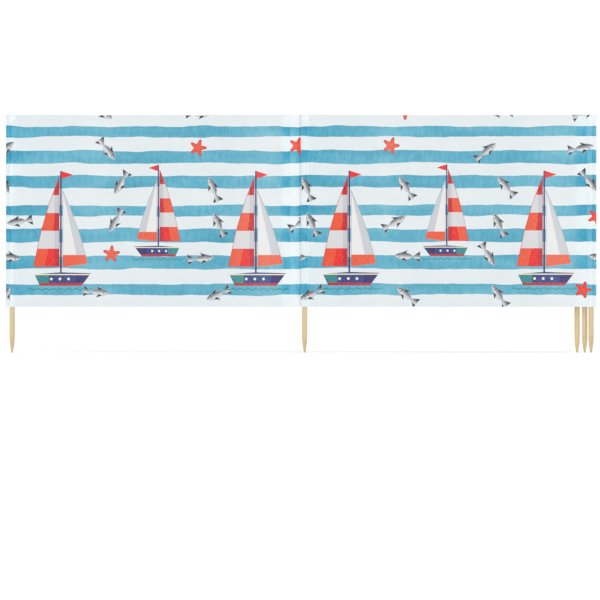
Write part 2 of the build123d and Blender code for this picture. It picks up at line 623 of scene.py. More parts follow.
        fifth = math.tau / star.arms
        angle = (across.math("ARCTAN2", along) + aim).math("PINGPONG", fifth / 2)
        reach = half.node("VectorMath", x.vector(along, across, 0.0), output=1, operation="LENGTH")
        arm = x.vector(reach * angle.math("COSINE"), reach * angle.math("SINE"), 1.0)
        starfish = (star.arm.inside(arm) | star.middle.inside(arm) | star.bulge.inside(arm)) - is_fish
        return self.cover(
            ground,
            (whole, inks.shade),
            (whole - 0.0016, back),
            ((tail | fin) & (whole - 0.0008) & (side - 0.009), inks.coal),
            (fish.eye.inside(x.vector(along, across, 1.0)) & whole, inks.coal),
            (gill, inks.coal),
            (starfish + 0.0008, inks.crimson),
            (starfish - 0.0012, inks.orange),
        )

    def group(self) -> bpy.types.NodeTree:
        """The whole print as one node group, from the cloth's own coordinates to a colour.

        Returns:
            The group.
        """
        tree = bpy.data.node_groups.new("beach print", "ShaderNodeTree")
        tree.interface.new_socket("Color", in_out="OUTPUT", socket_type="NodeSocketColor")
        uv = cloth_uv(tree)
        cloth = uv.vector(kept(tree, "run"), uv.part(1), 0.0)
        printed = self.boats(uv, self.small_motifs(uv, self.stripe_colour(cloth)))
        feed(tree.nodes.new("NodeGroupOutput").inputs[0], printed)
        return tree


# Finishes


@dataclass(frozen=True)
class ClothFinish:
    """Plain-weave cloth: a print, or plain white, with threads, slubs and a soft sheen.

    strength is how much of the print shows. The depth that the mesh keeps deepens the dye: partly doubled
    cloth, partly painted shade, the shadow line along the seam and the roll-off towards it. The brightening
    that it keeps lightens the colour: partly the cloth that lies behind, partly painted light on the shaded
    right walls of the sleeves.
    """

    name: str
    strength: float = 0.0
    roughness: float = 0.82
    sheen: float = 0.12
    thread_pitch: float = 0.0014
    thread_relief: float = 0.00004
    dye_and_painted_shade_depth: float = 0.28
    backing_light: float = 0.115
    white: Colour = srgb(231, 238, 240)
    slub_white: Colour = srgb(244, 247, 247)

    def printed(self, tree: bpy.types.NodeTree, pattern: bpy.types.NodeTree, slubs: Wire) -> Wire:
        """The print as it shows on the cloth, deepened, brightened and worn white on the slubs; the deepening
        is partly painted shade and the brightening partly painted light.

        Args:
            tree: the material's node tree.
            pattern: the print's node group.
            slubs: height of the slubs.

        Returns:
            The colour.
        """
        deep_and_painted_shade, backed_and_painted_light = kept(tree, "dye_and_painted_shade"), kept(tree, "backing")
        colour = Wire(tree).node("Group", node_tree=pattern)
        # deeper dye, partly painted shade: the seam's shadow line and the roll-off towards it
        colour = colour.node("Gamma", colour, deep_and_painted_shade * self.dye_and_painted_shade_depth + 1.0)
        # brighter where cloth lies behind, partly painted light on the sleeves' shaded right walls
        value = backed_and_painted_light * self.backing_light + 1.0
        colour = colour.node("HueSaturation", None, deep_and_painted_shade * 0.06 + 1.0, value, None, colour)
        return (slubs.rise(0.62, 0.30) * 0.16 + (1.0 - self.strength)).mix(colour, self.white)

    def material(self, pattern: bpy.types.NodeTree | None = None) -> Material:
        """Make the material.

        The weave's height is the product of a sine along and a sine across the cloth, and slubs are noise
        stretched along the threads.

        Args:
            pattern: the print's node group, or None for plain cloth.

        Returns:
            The material.
        """
        surface = Surface(self.name)
        uv = cloth_uv(surface.tree)
        slubs = (uv.stretched(60, 900).noise(1.0, 3.0) + uv.stretched(900, 60).noise(1.0, 3.0)) * 0.5
        if pattern is None:
            colour = slubs.ramp([(0.35, self.white), (0.65, self.slub_white)])
        else:
            colour = self.printed(surface.tree, pattern, slubs)
        turns = math.tau / self.thread_pitch
        weave = (uv.part(0) * turns).math("SINE") * (uv.part(1) * turns).math("SINE")
        return surface.finish(
            base_color=colour,
            roughness=slubs * 0.16 + (self.roughness - 0.08),
            normal=(weave * 0.5 + slubs * 1.6).bump(0.6, self.thread_relief),
            sheen_weight=self.sheen,
            sheen_roughness=0.5,
            specular_ior_level=0.25,
        )


@dataclass(frozen=True)
class ThreadFinish:
    """Polyester sewing thread, its plies across the stitch."""

    name: str = "sewing thread"
    dark: Colour = srgb(214, 222, 226)
    pale: Colour = srgb(240, 243, 243)
    plies: float = 9000.0

    def material(self) -> Material:
        """Make the material: slanted plies as bump and a faint change of white.

        Returns:
            The material.
        """
        surface = Surface(self.name)
        here = surface.here()
        plies = (here.part(0) * self.plies + here.part(2) * self.plies).math("SINE")
        return surface.finish(
            base_color=here.noise(300.0).ramp([(0.3, self.dark), (0.7, self.pale)]),
            roughness=plies * 0.08 + 0.55,
            normal=plies.bump(0.4, 0.00004),
            sheen_weight=0.1,
        )


@dataclass(frozen=True)
class PoleWood:
    """Sanded pale pine, its growth rings round a pith outside the dowel.

    x and y are the pole's middle; pith is where the rings' centre lies from there, which leans by lean a
    metre. The value scale is painted light: it lifts poles 4 and 5, which stand in shade under the folded
    cloth. The wood darkens towards the very tip.
    """

    number: int
    x: float
    y: float
    pith: Pair
    lean: float
    painted_light_lift: float
    ring_pitch: float = 0.0024
    point_length: float = 0.069
    tip_dark_height: float = 0.016
    ring: tuple = (
        (0.0, srgb(234, 214, 172)),
        (0.45, srgb(229, 208, 164)),
        (0.80, srgb(220, 193, 144)),
        (0.93, srgb(204, 171, 120)),
        (1.0, srgb(232, 211, 169)),
    )
    fibre: Colour = srgb(200, 172, 126)
    cloud: Colour = srgb(234, 219, 185)
    cut_wood: Colour = srgb(211, 184, 134)
    tip_dark: Colour = srgb(176, 148, 104)

    def material(self) -> Material:
        """Make the material.

        A ring is the distance from the pith divided by the ring pitch, less its whole part. Slow noise bends
        the rings, fine stretched noise is the fibre, and turning marks are a sine of the height on the point.

        Returns:
            The material.
        """
        surface = Surface(f"pole wood {self.number}")
        here = surface.here()
        place = here.node("Mapping", here, (-self.x, -self.y, 0.0))
        wander = place.stretched(6, 6, 2.2).noise(1.0) - 0.5
        height = place.part(2)
        x = place.part(0) + height * self.lean - self.pith[0] + wander * 0.006
        y = place.part(1) - self.pith[1] + wander * 0.004
        ring = ((x * x + y * y).math("SQRT") / self.ring_pitch).math("FRACT")
        fibre = place.stretched(900, 900, 14).noise(1.0, 4.0)
        cloud = place.stretched(30, 30, 5).noise(1.0, 3.0)
        cut = height.rise(self.point_length + 0.004, self.point_length - 0.004)
        wood = (fibre.rise(0.66, 0.34) * 0.30).mix(ring.ramp(self.ring), self.fibre)
        wood = (cloud.rise(0.62, 0.38) * 0.22).mix(wood, self.cloud)
        wood = (cut * 0.22).mix(wood, self.cut_wood)
        # darker towards the very tip
        wood = (height.rise(self.tip_dark_height, 0.0) * 0.35).mix(wood, self.tip_dark)
        marks = (height * 5200.0).math("SINE") * cut
        return surface.finish(
            # the value scale is painted light on the poles that stand in shade under the folded cloth
            base_color=wood.node("HueSaturation", None, 1.0, self.painted_light_lift, None, wood),
            roughness=fibre * 0.25 + cut * 0.12 + 0.46,
            normal=(fibre * 1.2 + ring * 0.35 + marks * 0.8).bump(0.5, 0.00012),
            specular_ior_level=0.35,
        )


# Meshes


def unit(vectors: np.ndarray) -> np.ndarray:
    """The same directions at length 1."""
    return vectors / np.linalg.norm(vectors, axis=-1, keepdims=True)


def add_piece(
    name: str,
    points: np.ndarray,
    faces: np.ndarray,
    finishes: Sequence[Material],
    uv: np.ndarray | None = None,
    slots: np.ndarray | None = None,
) -> Piece:
    """Put arrays into a mesh object at the origin.

    Args:
        name: the piece's name.
        points: the corners, in the CAD frame.
        faces: four or three corner numbers each.
        finishes: the materials.
        uv: a coordinate pair for every corner of every face.
        slots: which material each face takes.

    Returns:
        The object.
    """
    mesh = bpy.data.meshes.new(name)
    mesh.from_pydata(points.reshape(-1, 3), [], faces)
    mesh.polygons.foreach_set("use_smooth", np.ones(len(faces), bool))
    if uv is not None:
        mesh.uv_layers.new(name="cloth").data.foreach_set("uv", uv.ravel().astype(np.float32))
    if slots is not None:
        mesh.polygons.foreach_set("material_index", slots.astype(np.int32))
    for finish in finishes:
        mesh.materials.append(finish)
    mesh.set_sharp_from_angle(angle=math.radians(60))
    mesh.update()
    piece = bpy.data.objects.new(name, mesh)
    bpy.context.scene.collection.objects.link(piece)
    return piece


def rim(us: tuple[np.ndarray, ...], vs: tuple[np.ndarray, ...]) -> np.ndarray:
    """Coordinates of a strip of faces along an edge of a shell.

    Args:
        us: u of the four corners of each face, or one u for all.
        vs: v of the four corners of each face, or one v for all.

    Returns:
        faces x 4 x 2.
    """
    count = max(np.size(a) for a in us + vs)
    pairs = [np.stack([np.broadcast_to(a, count), np.broadcast_to(b, count)], -1) for a, b in zip(us, vs)]
    return np.stack(pairs, 1)


def shell(
    name: str,
    middle: np.ndarray,
    outward: np.ndarray,
    halves: tuple[np.ndarray, np.ndarray],
    u: tuple[np.ndarray, np.ndarray],
    v: np.ndarray,
    finishes: Sequence[Material],
    shift: np.ndarray | float = 0.0,
) -> Piece:
    """Closed sheet of some thickness round a middle surface.

    The front is middle + outward x front half and the back is middle - outward x back half, on one grid of
    rows up and columns along, and four strips of faces close the edges.

    Args:
        name: the piece's name.
        middle: rows x columns x 3 places.
        outward: rows x columns x 3 directions to the front.
        halves: thickness before and behind the middle, rows x columns.
        u: the print's place at the left and at the right of each column of faces.
        v: the print's height at each row.
        finishes: materials of the front and of the back.
        shift: how much further up the print each column of faces lies.

    Returns:
        The object.
    """
    rows, columns = middle.shape[:2]
    front = middle + outward * halves[0][..., None]
    back = middle - outward * halves[1][..., None]
    points = np.concatenate([front.reshape(-1, 3), back.reshape(-1, 3)])
    near = np.arange(rows * columns).reshape(rows, columns)
    far = near + rows * columns
    faces = [
        np.stack([near[:-1, :-1], near[:-1, 1:], near[1:, 1:], near[1:, :-1]], -1).reshape(-1, 4),
        np.stack([far[:-1, :-1], far[1:, :-1], far[1:, 1:], far[:-1, 1:]], -1).reshape(-1, 4),
        np.stack([near[0, :-1], far[0, :-1], far[0, 1:], near[0, 1:]], -1),
        np.stack([near[-1, :-1], near[-1, 1:], far[-1, 1:], far[-1, :-1]], -1),
        np.stack([near[:-1, 0], near[1:, 0], far[1:, 0], far[:-1, 0]], -1),
        np.stack([near[:-1, -1], far[:-1, -1], far[1:, -1], near[1:, -1]], -1),
    ]
    left, right = u
    grid = (rows - 1, columns - 1)
    u0, u1, low, high = (np.broadcast_to(a, grid) for a in (left, right, v[:-1, None], v[1:, None]))
    front_uv = np.stack([u0, low, u1, low, u1, high, u0, high], -1)
    back_uv = np.stack([u0, low, u0, high, u1, high, u1, low], -1)
    for pairs in (front_uv, back_uv):
        pairs[..., 1::2] += np.broadcast_to(shift, columns - 1)[:, None]
    corners = [
        front_uv.reshape(-1, 4, 2),
        back_uv.reshape(-1, 4, 2),
        rim((left, left, right, right), (v[0],) * 4),
        rim((left, right, right, left), (v[-1],) * 4),
        rim((left[0],) * 4, (v[:-1], v[1:], v[1:], v[:-1])),
        rim((right[-1],) * 4, (v[:-1], v[:-1], v[1:], v[1:])),
    ]
    slots = np.repeat([0, 1, 0, 0, 0, 0], [len(part) for part in faces])
    return add_piece(name, points, np.concatenate(faces), finishes, np.concatenate(corners), slots)


def keep(piece: Piece, name: str, values: np.ndarray) -> None:
    """Keep one number for every grid point of a shell, the same in front and behind."""
    made = piece.data.attributes.new(name, "FLOAT", "POINT")
    made.data.foreach_set("value", np.concatenate([values.ravel(), values.ravel()]).astype(np.float32))


@dataclass(frozen=True)
class Stitch:
    """One lockstitch lying on the cloth: a long bead, flattened and half sunk.

    rings are the place along the bead and the share of its width of each ring of points.
    """

    length: float = 0.0029
    width: float = 0.00062
    height: float = 0.00044
    pitch: float = 0.0034
    rings: tuple = ((-0.32, 0.72), (0.0, 1.0), (0.32, 0.72))
    sides: int = 4

    def bead(self) -> tuple[np.ndarray, np.ndarray]:
        """One bead between two points.

        Ring by ring, a point is (t length, cos a w width / 2, sin a w height), with w the ring's share.

        Returns:
            The points (along, across, up), and three point numbers for each triangle.
        """
        ring = np.arange(self.sides)
        after = (ring + 1) % self.sides
        angle = ring * math.tau / self.sides
        points = [np.array([[-0.5 * self.length, 0.0, 0.0]])]
        for t, w in self.rings:
            across, up = np.cos(angle) * w * self.width / 2, np.sin(angle) * w * self.height
            points.append(np.stack([np.full(self.sides, t * self.length), across, up], -1))
        points.append(-points[0])
        last = 1 + len(self.rings) * self.sides
        end = last - self.sides
        faces = [np.stack([np.zeros_like(ring), 1 + after, 1 + ring], -1)]
        for a in range(1, end, self.sides):
            b = a + self.sides
            faces.append(np.stack([a + ring, a + after, b + after], -1))
            faces.append(np.stack([a + ring, b + after, b + ring], -1))
        faces.append(np.stack([end + ring, end + after, np.full_like(ring, last)], -1))
        return np.concatenate(points), np.concatenate(faces)

    def row(self, place: Place, start: Pair, end: Pair, lift: float) -> np.ndarray:
        """Bead points of one row of stitches.

        Each bead's frame is the line's direction, found from two near points, the cloth's outward direction
        and the product of the two.

        Args:
            place: the cloth's surface, from s and v to places and outward directions.
            start: s and v where the row starts.
            end: s and v where it ends.
            lift: how far before the middle of the cloth the thread lies; below 0, behind it.

        Returns:
            beads x points x 3.
        """
        way = [b - a for a, b in zip(start, end)]
        span = math.hypot(*way)
        t = (np.arange(max(1, int(span / self.pitch))) + 0.5) * self.pitch / span
        s, v = (a + t * b for a, b in zip(start, way))
        step = 0.3 * self.length / span
        ds, dv = (step * b for b in way)
        here, outward = place(s, v)
        along = unit(place(s + ds, v + dv)[0] - place(s - ds, v - dv)[0])
        across = unit(np.cross(outward * math.copysign(1.0, lift), along))
        axes = (along, across, np.cross(along, across))
        bead = self.bead()[0]
        centre = (here + outward * lift)[:, None]
        return sum((bead[:, i, None] * axis[:, None] for i, axis in enumerate(axes)), centre)

    def piece(self, name: str, rows: Sequence[np.ndarray], finish: Material) -> Piece:
        """All rows as one object.

        Args:
            name: the object's name.
            rows: the bead points of each row.
            finish: the thread's finish.

        Returns:
            The object.
        """
        beads = np.concatenate(rows)
        triangles = self.bead()[1]
        count, size = beads.shape[:2]
        faces = (triangles[None] + (np.arange(count) * size)[:, None, None]).reshape(-1, 3)
        return add_piece(name, beads, faces, [finish])


# The cloth


@dataclass(frozen=True)
class Ripples:
    """Soft waves in hanging cloth.

    The height is the mean of count sines, each with its own length, direction, phase and share, drawn from a
    seeded generator. tilt is how far a wave may turn from running straight along the cloth.
    """

    seed: int
    amplitude: float
    shortest: float
    longest: float
    tilt: float
    count: int = 9

    def at(self, s: np.ndarray, v: np.ndarray) -> np.ndarray:
        """Height of the waves.

        Args:
            s: distances along the line.
            v: heights.

        Returns:
            The waves' height.
        """
        draw = np.random.default_rng(self.seed)
        length = np.exp(draw.uniform(math.log(self.shortest), math.log(self.longest), self.count))
        angle = draw.uniform(-self.tilt, self.tilt, self.count)
        phase = draw.uniform(0, math.tau, self.count)
        share = draw.uniform(0.5, 1.0, self.count)
        turn = (s[..., None] * np.cos(angle) + v[..., None] * np.sin(angle)) * math.tau / length + phase
        return self.amplitude * (np.sin(turn) * share).sum(-1) / math.sqrt(self.count)


@dataclass(frozen=True)
class SleeveSpot:
    """A sleeve on the line of a sheet: the pole's middle, the two stitch lines and the margins past them."""

    s: float
    left: float
    right: float
    left_margin: float
    right_margin: float

    def width(self, dx: np.ndarray) -> np.ndarray:
        """Half the width of the sleeve at dx from the pole's middle.

        Over the pole it is the circle, the root of r squared less dx squared. Beyond, a straight wall leaves
        the circle at a tangent and meets the stitch line at half the thickness of the seam.

        Args:
            dx: distance from the pole's middle along the cloth.

        Returns:
            The distance from the middle plane.
        """
        r, seam = SLEEVE_RADIUS, HALF_CLOTH
        reach = np.where(dx < 0, self.left, self.right)
        slope = np.arcsin(r / np.hypot(reach, seam)) - np.arctan2(seam, reach)
        wall = seam + (reach - np.abs(dx)) * np.tan(slope)
        round_part = np.sqrt(np.maximum(r * r - dx * dx, 0))
        return np.where(np.abs(dx) <= r * np.sin(slope), round_part, np.maximum(wall, seam))


@dataclass
class Layout:
    """Places taken from the CAD model, and what every sleeve has in common.

    gather_zone is how far under the top edge the pleats of a sleeve start, are full, fade and end, and
    gather_widths are the half widths of the sleeve between which they come up.
    """

    bottom: float
    top: float
    sleeve_top: float
    poles: dict[int, Pair]
    turns: dict[str, tuple[float, float, float]]
    gather_height: float = 0.00028
    gather_zone: tuple = (0.045, 0.022, 0.016, 0.009)
    gather_widths: Pair = (0.001, 0.006)

    @classmethod
    def read(cls) -> "Layout":
        """Read the cloth's height, the poles' middles and the folds from the boxes of the CAD nodes.

        Returns:
            The layout.
        """
        hem, upper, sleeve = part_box("bay_2_bottom_hem"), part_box("bay_2_top_hem"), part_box("sleeve_2")
        poles, turns = {}, {}
        for number in range(1, 6):
            low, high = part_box(f"pole_{number}")
            poles[number] = ((low.x + high.x) / 2, (low.y + high.y) / 2)
        for node, side in (("bay_3_turn", 1), ("bay_3_fold", -1), ("bay_4_turn", 1), ("bay_4_fold", -1)):
            low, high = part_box(node)
            line = low.x + LEAD if side > 0 else high.x - LEAD
            turns[node] = (line, (low.y + high.y) / 2, math.pi * side)
        return cls(hem[0].z, upper[1].z, sleeve[1].z, poles, turns)

    @property
    def height(self) -> float:
        """Height of the cloth."""
        return self.top - self.bottom

    @property
    def step(self) -> float:
        """Distance from one folded layer to the next."""
        return (self.poles[4][1] - self.poles[3][1]) / 2

    @property
    def shut(self) -> float:
        """Height above the lower edge at which the sleeves begin to close."""
        return self.sleeve_top - self.bottom

    @property
    def upper_rows(self) -> tuple[float, float, float]:
        """Where a grid's rows lie close together for the closing: start, end and spacing."""
        return self.shut - 0.03, self.height, 0.0024

    def closing(self, v: np.ndarray) -> np.ndarray:
        """How open a sleeve is at height v: 1 along the pole, then 1 less a power of the share risen."""
        return 1 - np.clip((v - self.shut) / CLOSING_RISE, 0, 1) ** CLOSING_POWER

    def gather(self, dx: np.ndarray, v: np.ndarray, width: np.ndarray, pitch: float) -> np.ndarray:
        """Small upright pleats where a sleeve is drawn together.

        They are a sine of the distance from the pole's middle, which fades away below, towards the stitches
        above and where the sleeve is narrow.

        Args:
            dx: distance from the pole's middle along the cloth.
            v: heights.
            width: half the sleeve's width.
            pitch: from one pleat to the next.

        Returns:
            The pleats' height.
        """
        start, full, fading, gone = (self.height - under for under in self.gather_zone)
        pleats = self.gather_height * np.sin(dx * math.tau / pitch) * smooth(v, start, full)
        return pleats * smooth(v, gone, fading) * smooth(width, *self.gather_widths)


@dataclass
class PlanLine:
    """The line of a sheet seen from above, made of straight legs and round turns."""

    start: Pair
    heading: float
    legs: Sequence[Pair]
    samples: int = 61

    def __post_init__(self) -> None:
        """Work out the line at close points.

        On a leg of length l that turns by a, the heading changes evenly, the radius is l / a, and a point is
        the leg's start plus the radius times the change of (sin, -cos) of the heading.
        """
        s, x, y, heading = [0.0], [self.start[0]], [self.start[1]], [self.heading]
        for length, turn in self.legs:
            share = np.linspace(0, 1, 2 if turn == 0 else self.samples)[1:]
            first = heading[-1]
            h = first + share * turn
            if turn == 0:
                dx, dy = share * length * math.cos(first), share * length * math.sin(first)
            else:
                radius = length / turn
                dx, dy = radius * (np.sin(h) - math.sin(first)), -radius * (np.cos(h) - math.cos(first))
            for line, values in ((s, s[-1] + share * length), (x, x[-1] + dx), (y, y[-1] + dy), (heading, h)):
                line.extend(values.tolist())
        self.s, self.x, self.y, self.h = (np.array(line) for line in (s, x, y, heading))

    @property
    def length(self) -> float:
        """Length of the whole line."""
        return float(self.s[-1])

    def at(self, s: np.ndarray) -> tuple[np.ndarray, np.ndarray]:
        """Places and front directions on the line.

        Args:
            s: distances along it.

        Returns:
            x and y of each place, and x and y of the direction to the printed side, the right-hand side.
        """
        x, y, h = (np.interp(s, self.s, values) for values in (self.x, self.y, self.h))
        return np.stack([x, y], -1), np.stack([np.sin(h), -np.cos(h)], -1)


@dataclass(frozen=True)
class Span:
    """A stretch of hem, and the body that it rides, or None where, like its sheet, it rides no body."""

    start: float
    end: float
    body: str | None = None


@dataclass
class Sheet:
    """One piece of the main cloth with its hems and stitching.

    panels are the print's origins: from which s, which u and how far up the print the cloth's lower edge
    lies. calm is where ripples die out; tones are s, depth of dye and how far cloth behind brightens it, the
    depth partly painted shade and the brightening partly painted light; stitched is where upright rows are;
    pocket is a loose double part: start and end. run_from is how much of the whole cloth comes before this
    sheet. hem_section is the turned hem's depth, in depths of its fold, and its height; fold, hem_half and
    hem_thread are the fold's depth, the hem's half thickness and the depth of the thread behind it, in halves
    of the cloth.
    """

    name: str
    layout: Layout
    line: PlanLine
    columns: np.ndarray
    sleeves: Sequence[SleeveSpot]
    panels: Sequence[tuple[float, float, float]]
    ripples: Sequence[Ripples]
    calm: Sequence[Pair]
    tones_and_painted_light: Sequence[tuple[float, float, float]]
    bodies: tuple[str, str]
    hinge: tuple[Pair, Pair]
    replaced: Sequence[str]
    hem_spans: dict[str, Span]
    stitched: Sequence[float]
    held: str
    pocket: Pair | None = None
    sag: float = 0.0016
    billow: float = 0.0
    pocket_depth: float = 0.0026
    run_from: float = 0.0
    slack: float = 0.018
    slack_waves: Pair = (31.0, 12.7)
    gather_pitch: float = 0.0052
    pucker: float = 0.0003
    pucker_pitch: float = 0.043
    pull: float = 0.00075
    pull_reach: float = 0.09
    pull_pitches: Pair = (0.093, 0.151)
    pull_centre: float = 0.42
    hem_section: tuple = (
        (0.0, 0.0002),
        (0.5, -0.0001),
        (1.0, 0.0002),
        (1.06, 0.004),
        (1.1, 0.009),
        (1.06, 0.0135),
        (1.0, 0.0155),
        (0.9, HEM),
    )
    fold: float = 2.1
    hem_half: float = 0.92
    hem_thread: float = 3.2
    pieces: list = field(default_factory=list)

    @property
    def last_u(self) -> float:
        """Where the print has got to at the end of the sheet."""
        start, u, _ = self.panels[-1]
        return u + self.line.length - start

    @property
    def run_to(self) -> float:
        """How much of the whole cloth lies before the end of the sheet."""
        return self.run_from + self.line.length

    def rows(self) -> np.ndarray:
        """Heights of the grid's rows: close together at the hems and where the sleeves are drawn together."""
        upper = self.layout.upper_rows
        return spread((0, 0.003, 0.0015), (0.003, 0.021, 0.003), (0.021, upper[0], 0.0126), upper)

    def lift(self, s: np.ndarray, v: np.ndarray) -> np.ndarray:
        """How far the cloth stands before its line: sleeves, pocket, billow and ripples.

        A sleeve is its own width, drawn together at the top, with a little slack; past its margins the cloth
        comes back to the line. The rest dies out towards the sleeves and in the calm parts.

        Args:
            s: distances along the line.
            v: heights.

        Returns:
            The distance to the printed side.
        """
        top, shut = self.layout.height, self.layout.closing(v)
        quick, slow = self.slack_waves
        calm, free, total = np.ones_like(s), np.ones_like(s), np.zeros_like(s)
        for start, end in self.calm:
            calm = calm * smooth(s, start, end)
        for spot in self.sleeves:
            dx = s - spot.s
            away, width = np.abs(dx), spot.width(dx)
            slack = 1 + self.slack * np.sin(v * quick + spot.s * 5) * np.sin(v * slow + 1.1)
            tube = np.maximum(width * shut * slack, HALF_CLOTH)
            tube = tube + self.layout.gather(dx, v, width, self.gather_pitch)
            reach = np.where(dx < 0, spot.left + spot.left_margin, spot.right + spot.right_margin)
            beyond = HALF_CLOTH * (1 - smooth(away - reach, 0, 0.003))
            total = total + np.where(away <= reach + 1e-6, tube, beyond)
            free = free * smooth(away, reach, reach + 0.03)
        if self.pocket is not None:
            start, end = self.pocket
            t = np.clip((s - start) / (end - start), 0, 1)
            ends = smooth(v, 0.0, 0.03) * smooth(v, top, top - 0.03)
            total = total + self.pocket_depth * np.sin(math.pi * t) ** 0.8 * ends
            free = free * np.clip(smooth(s, start, start - 0.02) + smooth(s, end, end + 0.02), 0, 1)
        waves = sum(ripple.at(s, v) for ripple in self.ripples)
        bow = self.billow * np.sin(math.pi * np.clip(s / self.line.length * 2, 0, 2)) ** 2
        edges = smooth(v, 0.03, 0.0) + smooth(v, top - 0.03, top)
        pucker = self.pucker * np.sin(s * math.tau / self.pucker_pitch) * edges
        return total + calm * free * (waves + self.tension(s, v) + bow + pucker)

    def tension(self, s: np.ndarray, v: np.ndarray) -> np.ndarray:
        """Level folds that run out from each sleeve and die away.

        Their height is a sum of two sines of v, whose lines tilt a little with the distance d from the
        sleeve, times d / reach times e to the power 1 - d / reach.

        Args:
            s: distances along the line.
            v: heights.

        Returns:
            The folds' height.
        """
        total = np.zeros_like(s)
        narrow, wide = self.pull_pitches
        for index, spot in enumerate(self.sleeves):
            d = np.maximum(np.abs(s - spot.s) - spot.left, 0)
            fan = (v - self.pull_centre) * (1 + 1.6 * d)
            folds = np.sin(fan * math.tau / narrow + index) + 0.7 * np.sin(fan * math.tau / wide + 2 * index)
            total = total + self.pull * folds * (d / self.pull_reach) * np.exp(1 - d / self.pull_reach)
        return total

    def place(self, s: np.ndarray, v: np.ndarray) -> tuple[np.ndarray, np.ndarray]:
        """The cloth's middle surface.

        A point is the line's place plus the printed direction times lift, and its height is v, lowered at the
        top edge and raised at the bottom edge by the sag times the square of the sine along the sheet.

        Args:
            s: distances along the line.
            v: heights.

        Returns:
            Places and directions to the printed side.
        """
        ground, out = self.line.at(s)
        share = v / self.layout.height
        bow = np.sin(math.pi * s / self.line.length * (2 if self.billow else 1)) ** 2
        z = self.layout.bottom + v - self.sag * bow * (share - 0.4 * (1 - share))
        place = np.concatenate([ground + out * self.lift(s, v)[..., None], z[..., None]], -1)
        return place, np.concatenate([out, np.zeros_like(z)[..., None]], -1)

    def on_grid(self, s: np.ndarray, v: np.ndarray) -> tuple[np.ndarray, np.ndarray]:
        """The surface as the sheet's grid has it, so that stitches lie on its faces.

        A place is the mean of the four corners round it, each weighted by one less its distance in grid steps
        along and up.

        Args:
            s: distances along the line.
            v: heights.

        Returns:
            Places and directions to the printed side.
        """
        rows = self.rows()
        i = np.clip(np.searchsorted(self.columns, s, side="right") - 1, 0, len(self.columns) - 2)
        j = np.clip(np.searchsorted(rows, v, side="right") - 1, 0, len(rows) - 2)
        along = (s - self.columns[i]) / (self.columns[i + 1] - self.columns[i])
        up = (v - rows[j]) / (rows[j + 1] - rows[j])
        total, out = 0.0, 0.0
        for a, b in ((0, 0), (0, 1), (1, 0), (1, 1)):
            weight = (np.where(a, along, 1 - along) * np.where(b, up, 1 - up))[..., None]
            place, outward = self.place(self.columns[i + a], rows[j + b])
            total, out = total + place * weight, out + outward * weight
        return total, out

    def take(self, piece: Piece, body: str | None = None) -> Piece:
        """Note a piece of this sheet.

        Args:
            piece: the piece.
            body: the body that it rides, or None to leave it on no body, its transform applied.

        Returns:
            The piece.
        """
        if body is None:
            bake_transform(piece)
        else:
            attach(piece, body)
        self.pieces.append(piece)
        return piece

    def build(self, printed: Material, reverse: Material) -> Piece:
        """Make the sheet itself.

        Args:
            printed: the finish of the printed side.
            reverse: the finish of the other side.

        Returns:
            The sheet.
        """
        v = self.rows()
        s_grid, v_grid = np.meshgrid(self.columns, v)
        middle, outward = self.place(s_grid, v_grid)
        half = np.full(s_grid.shape, HALF_CLOTH)
        starts, firsts, shifts = (np.array(values) for values in zip(*self.panels))
        panel = np.searchsorted(starts, (self.columns[1:] + self.columns[:-1]) / 2, side="right") - 1
        origin = firsts[panel] - starts[panel]
        u = (self.columns[:-1] + origin, self.columns[1:] + origin)
        sheet = shell(self.name, middle, outward, (half, half), u, v, [printed, reverse], shifts[panel])
        # depth of dye, partly painted shade, and brightening, partly painted light, kept at each point
        places, depths_and_painted_shade, backings_and_painted_light = zip(*self.tones_and_painted_light)
        keep(sheet, "dye_and_painted_shade", np.interp(s_grid, places, depths_and_painted_shade))
        keep(sheet, "backing", np.interp(s_grid, places, backings_and_painted_light))
        keep(sheet, "run", s_grid + self.run_from)
        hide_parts(*self.replaced)
        return self.take(sheet)

    def hem(self, panel: str, edge: Edge, finish: Material) -> Piece:
        """Cloth turned back behind one edge.

        Its section starts inside the edge, rounds it and runs up the back.

        Args:
            panel: the panel of cloth that it edges.
            edge: the bottom or the top edge.
            finish: the finish.

        Returns:
            The hem.
        """
        span = self.hem_spans[panel]
        inner = self.columns[(self.columns > span.start + 0.002) & (self.columns < span.end - 0.002)]
        s = np.concatenate([[span.start], inner, [span.end]])
        depth, v = np.array(self.hem_section).T
        if edge is Edge.TOP:
            depth, v = depth[::-1], (self.layout.height - v)[::-1]
        s_grid, v_grid = np.meshgrid(s, v)
        place, outward = self.place(s_grid, v_grid)
        middle = place - outward * (depth * (HALF_CLOTH * self.fold))[:, None, None]
        half = np.full(s_grid.shape, HALF_CLOTH * self.hem_half)
        name = f"{panel}_{edge.value}"
        u = (s[:-1], s[1:])
        piece = shell(f"{name}_turned_hem", middle, outward, (half, half), u, v, [finish, finish])
        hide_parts(f"{name}_hem")
        return self.take(piece, span.body)

    def stitches(self, stitch: Stitch, finish: Material) -> Piece:
        """Every row of stitches on the sheet, on both sides of it.

        Args:
            stitch: the stitch.
            finish: the thread.

        Returns:
            The stitching.
        """
        top, end = self.layout.height, self.line.length
        before, behind = HALF_CLOTH, -HALF_CLOTH * self.hem_thread
        lines = []
        for v in (HEM_ROW, top - HEM_ROW):
            lines.append(((0.0, v), (end, v), before))
            lines.extend(((span.start, v), (span.end, v), behind) for span in self.hem_spans.values())
        lines.extend(((s, ROW_END), (s, top - ROW_END), before) for s in self.stitched)
        for spot in self.sleeves:
            for v in (top - under for under in CLOSING_ROWS):
                lines.append(((spot.s - spot.left, v), (spot.s + spot.right, v), before))
        rows = [stitch.row(self.on_grid, *line) for line in lines]
        return self.take(stitch.piece(f"{self.name}_stitching", rows, finish))

    def declare(self, sheet: Piece, rests_on: Sequence[str]) -> None:
        """Args:
            sheet: the sheet; not used.
            rests_on: the CAD nodes that it hangs on; not used.
        """


